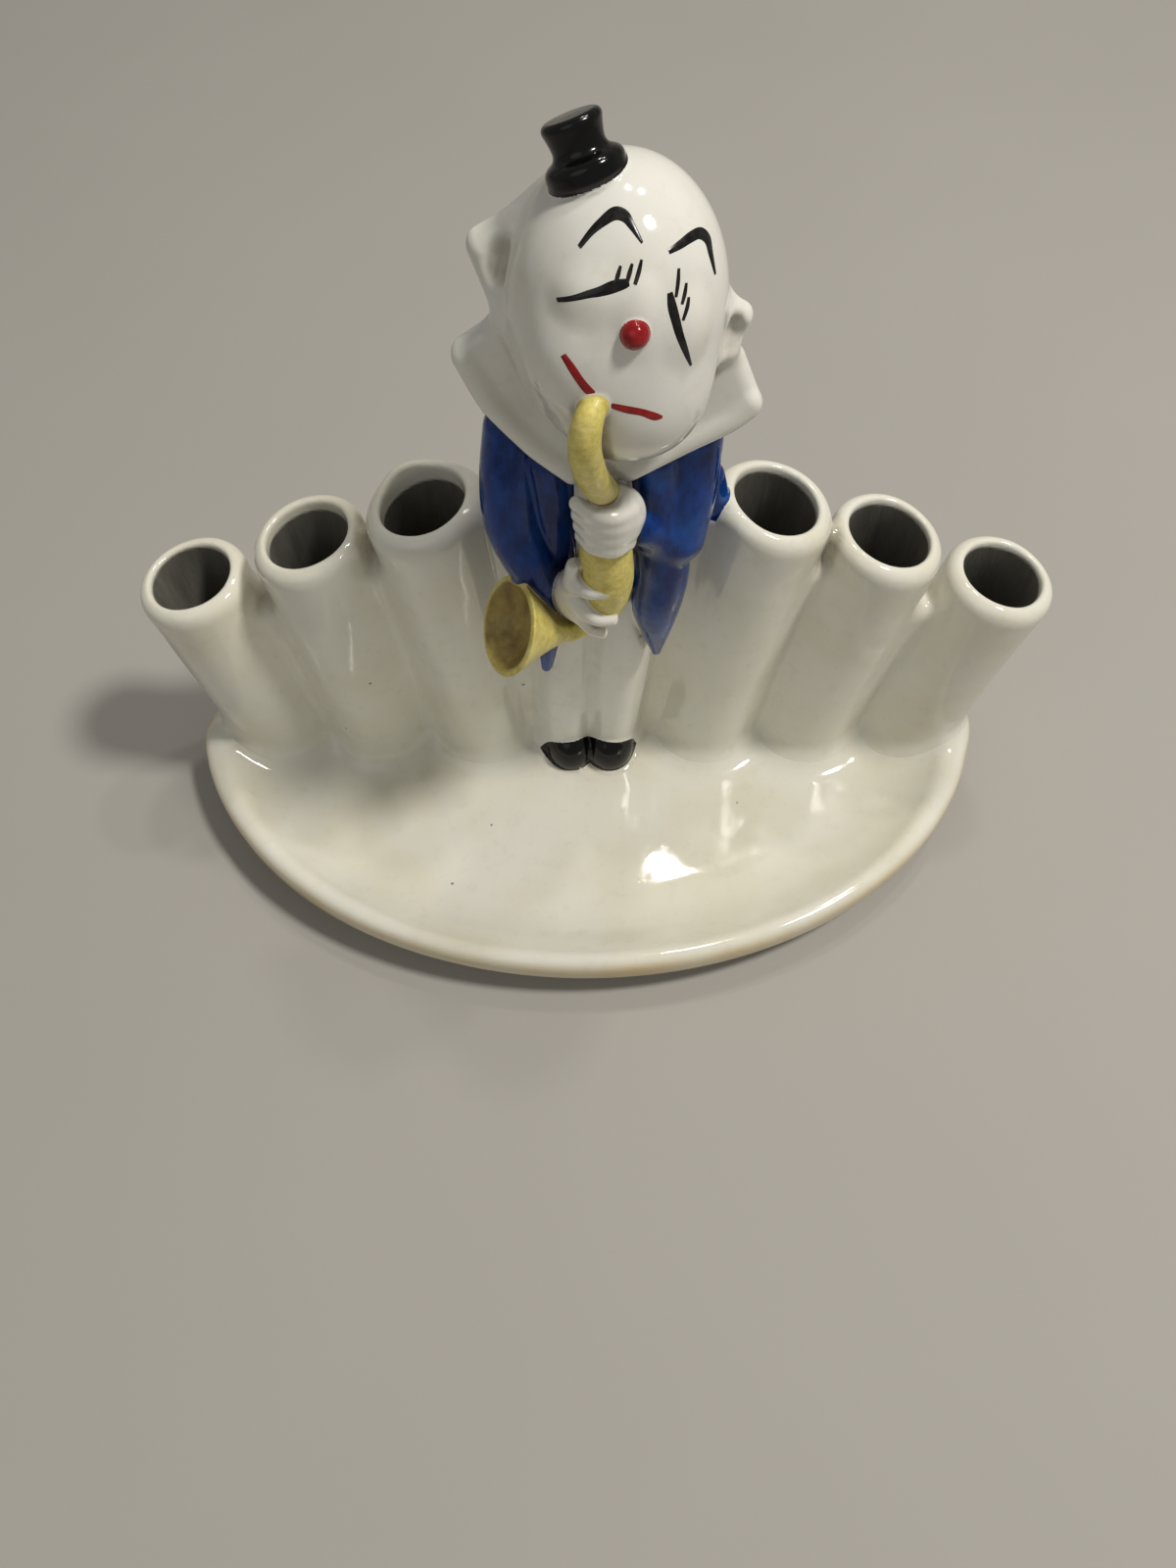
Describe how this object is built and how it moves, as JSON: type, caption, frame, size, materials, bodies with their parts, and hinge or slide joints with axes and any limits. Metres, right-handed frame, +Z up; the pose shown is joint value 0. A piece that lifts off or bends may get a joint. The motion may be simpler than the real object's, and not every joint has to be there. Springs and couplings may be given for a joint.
{
  "type": "ceramic figurine holder dish",
  "caption": "Glazed ceramic clown playing a saxophone, in front of a fan of upright holder tubes standing in a crescent dish.",
  "frame": {"origin": "centre of the bounding box at the level of the table it stands on", "axes": "+X along the row of tubes to the viewer's right, -Y the front where the dish and face are, +Z up"},
  "size_m": [0.1251, 0.0525, 0.1078],
  "materials": {
    "ivory_glaze": "glossy clear glaze over an ivory body",
    "white_glaze": "glossy clear glaze over a white body",
    "blue_glaze": "brushed cobalt blue under a glossy glaze",
    "yellow_paint": "satin yellow enamel with brown in the hollows",
    "black_glaze": "glossy black",
    "red_glaze": "glossy red"
  },
  "bodies": {
    "root": {"dish": "ivory_glaze", "tube_1": "ivory_glaze", "tube_2": "ivory_glaze", "tube_3": "ivory_glaze", "tube_4": "ivory_glaze", "tube_5": "ivory_glaze", "tube_6": "ivory_glaze", "web_1_2": "ivory_glaze", "web_2_3": "ivory_glaze", "web_4_5": "ivory_glaze", "web_5_6": "ivory_glaze", "back_web": "ivory_glaze", "head": "white_glaze", "left_ear": "white_glaze", "right_ear": "white_glaze", "collar_left": "white_glaze", "collar_right": "white_glaze", "upper_hand": "white_glaze", "lower_hand": "white_glaze", "shirt_front": "white_glaze", "left_leg": "white_glaze", "right_leg": "white_glaze", "left_sleeve": "blue_glaze", "right_sleeve": "blue_glaze", "jacket_left_front": "blue_glaze", "jacket_right_front": "blue_glaze", "jacket_back": "blue_glaze", "back_tail": "blue_glaze", "sax_neck": "yellow_paint", "sax_body": "yellow_paint", "sax_bell": "yellow_paint", "hat_crown": "black_glaze", "hat_brim": "black_glaze", "left_shoe": "black_glaze", "right_shoe": "black_glaze", "nose": "red_glaze"}
  },
  "joints": []
}
